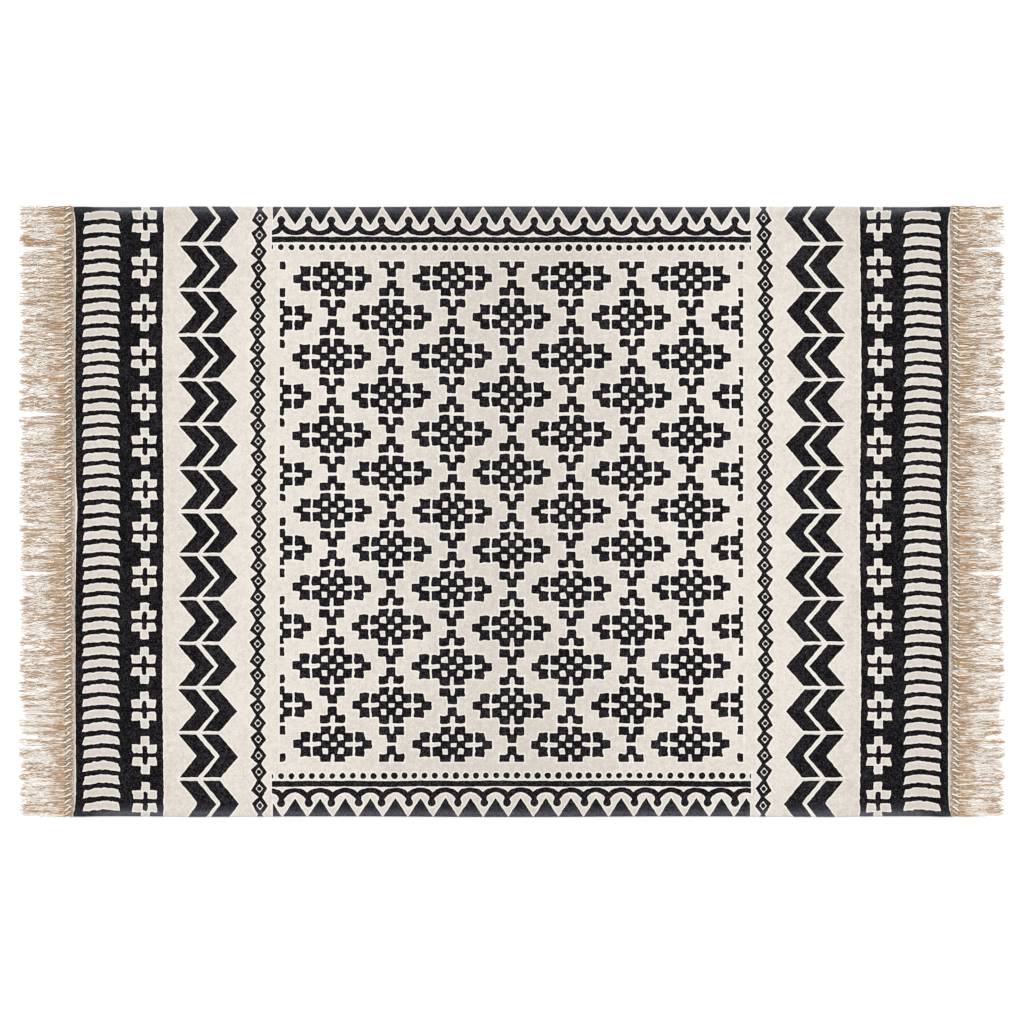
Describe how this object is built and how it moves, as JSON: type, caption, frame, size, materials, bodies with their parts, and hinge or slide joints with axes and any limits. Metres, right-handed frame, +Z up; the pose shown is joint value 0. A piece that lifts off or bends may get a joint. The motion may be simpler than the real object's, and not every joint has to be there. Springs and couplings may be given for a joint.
{
  "type": "fringed cotton rug",
  "caption": "Flat-woven cotton rug with a block-printed geometric pattern in off-black on cream, hemmed long sides and a knotted yarn fringe along both short ends.",
  "frame": {"origin": "centre of the underside, on the plane that the rug lies on", "axes": "+X along the rug from the left fringe to the right fringe, +Y across the rug, +Z up out of the printed face"},
  "size_m": [1.454, 0.9, 0.005],
  "materials": {
    "printed_cotton": "matt flat-woven cotton, cream, hand block-printed in off-black",
    "fringe_yarn": "loose twisted cotton yarn, undyed beige"
  },
  "bodies": {
    "root": {"cloth": "printed_cotton", "fringe_left": "fringe_yarn", "fringe_right": "fringe_yarn"}
  },
  "joints": []
}
